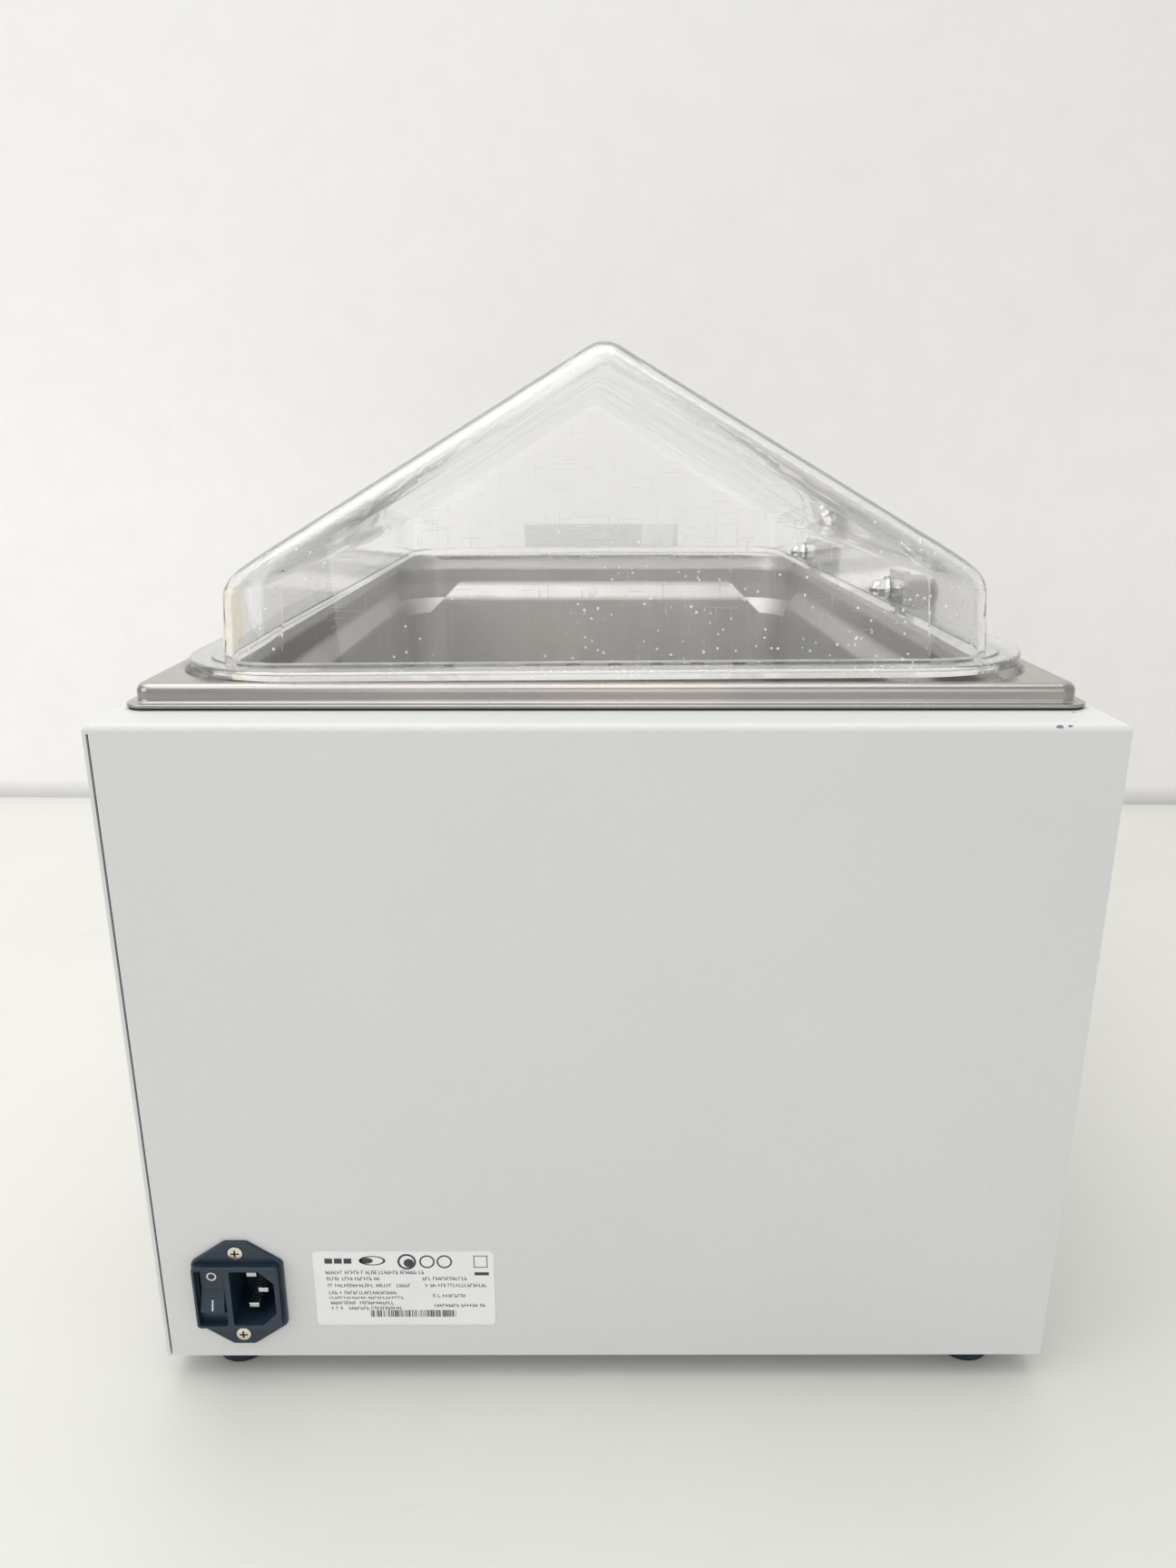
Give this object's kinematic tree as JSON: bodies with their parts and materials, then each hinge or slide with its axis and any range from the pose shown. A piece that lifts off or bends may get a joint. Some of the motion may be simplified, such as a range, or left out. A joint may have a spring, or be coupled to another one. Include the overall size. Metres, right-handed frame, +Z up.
{
  "type": "water bath",
  "caption": "Bench-top heated water bath: powder-coated steel case, deep stainless tank with lift-out tray, hinged clear gabled lid, rear mains inlet with rocker, drain tap.",
  "frame": {"origin": "centre of the footprint on the bench, tap and mains inlet included", "axes": "+Z up, the controls and drain tap face -Y, the mains inlet faces +Y, +X is the right-hand side seen from the controls"},
  "size_m": [0.338, 0.6256, 0.3822],
  "materials": {
    "case_paint": "fine orange-peel powder coat",
    "stainless": "satin deep-drawn stainless",
    "bright_steel": "plain zinc or stainless hardware",
    "chrome": "polished plate",
    "rubber_black": "matt",
    "silicone_orange": "matt silicone",
    "insulation": "fibre blanket",
    "aluminium": "mill",
    "clear_lid": "clear moulded polycarbonate",
    "inlet_black": "satin",
    "rocker_black": "satin",
    "mark_white": "printed",
    "label_white": "printed vinyl",
    "label_grey": "printed vinyl",
    "nylon_black": "moulded",
    "panel_grey": "membrane overlay",
    "window_red": "tinted window",
    "digit_red": "lit bar",
    "display_black": "moulded",
    "key_grey": "moulded",
    "key_green": "moulded",
    "lamp_amber": "lens",
    "board_green": "solder mask",
    "iron_core": "laminated",
    "terminal_white": "moulded",
    "brass": "turned",
    "lever_blue": "dipped vinyl"
  },
  "bodies": {
    "case": {"casing_shell": "case_paint", "base_plate": "case_paint", "rubber_feet": "rubber_black", "foot_screws": "bright_steel", "foot_nuts": "bright_steel", "base_screws": "bright_steel", "rim_gasket": "rubber_black", "tank": "stainless", "tank_insulation": "insulation", "heater_mats": "silicone_orange", "heat_spreader": "aluminium", "thermal_cutout": "nylon_black", "temperature_probe": "bright_steel", "drain_outlet": "stainless", "drain_pipe": "bright_steel", "drain_lock_nut": "brass", "drain_valve_body": "chrome", "drain_nozzle": "chrome", "mains_inlet": "inlet_black", "mains_pins": "bright_steel", "mains_screws": "bright_steel", "rating_label": "label_white", "hinge_brackets": "stainless", "hinge_pins": "bright_steel", "control_panel": "panel_grey", "display_window": "window_red", "display_block": "display_black", "display_digits": "digit_red", "control_board": "board_green", "board_pillars": "brass", "tact_switches": "nylon_black", "status_lamp": "lamp_amber", "power_board": "board_green", "power_pillars": "brass", "transformer": "iron_core", "triac_heatsink": "aluminium", "terminal_block": "terminal_white", "earth_stud": "brass"},
    "lid": {"lid_shell": "clear_lid", "lid_label": "label_grey", "hinge_knuckles": "nylon_black", "hinge_straps": "bright_steel", "hinge_studs": "bright_steel", "dome_nuts": "chrome"},
    "tray": {"base_tray": "stainless"},
    "rocker": {"rocker_switch": "rocker_black", "rocker_marks": "mark_white"},
    "tap": {"drain_ball": "chrome", "drain_lever": "lever_blue", "drain_lever_nut": "bright_steel"},
    "key_menu": {"key_menu": "key_grey"},
    "key_down": {"key_down": "key_grey"},
    "key_up": {"key_up": "key_grey"},
    "key_start": {"key_start": "key_green"}
  },
  "joints": [
    {"name": "lid_hinge", "type": "hinge", "parent": "case", "child": "lid", "pos_m": [-0.1575, 0.02115, 0.283], "axis": [0, -1, 0], "range_deg": [0, 100]},
    {"name": "tray_lift", "type": "slide", "parent": "case", "child": "tray", "axis": [0, 0, 1], "range_m": [0, 0.15]},
    {"name": "rocker_throw", "type": "hinge", "parent": "case", "child": "rocker", "pos_m": [0.1479, 0.30665, 0.0433], "axis": [-1, 0, 0], "range_deg": [0, 17]},
    {"name": "tap_turn", "type": "hinge", "parent": "case", "child": "tap", "pos_m": [0.11, -0.28286, 0.043], "axis": [0, 0, 1], "range_deg": [0, 90]},
    {"name": "key_menu_press", "type": "slide", "parent": "case", "child": "key_menu", "axis": [0, 1, 0], "range_m": [0, 0.0008], "stiffness_N_per_m": 500},
    {"name": "key_down_press", "type": "slide", "parent": "case", "child": "key_down", "axis": [0, 1, 0], "range_m": [0, 0.0008], "stiffness_N_per_m": 500},
    {"name": "key_up_press", "type": "slide", "parent": "case", "child": "key_up", "axis": [0, 1, 0], "range_m": [0, 0.0008], "stiffness_N_per_m": 500},
    {"name": "key_start_press", "type": "slide", "parent": "case", "child": "key_start", "axis": [0, 1, 0], "range_m": [0, 0.0008], "stiffness_N_per_m": 500}
  ]
}
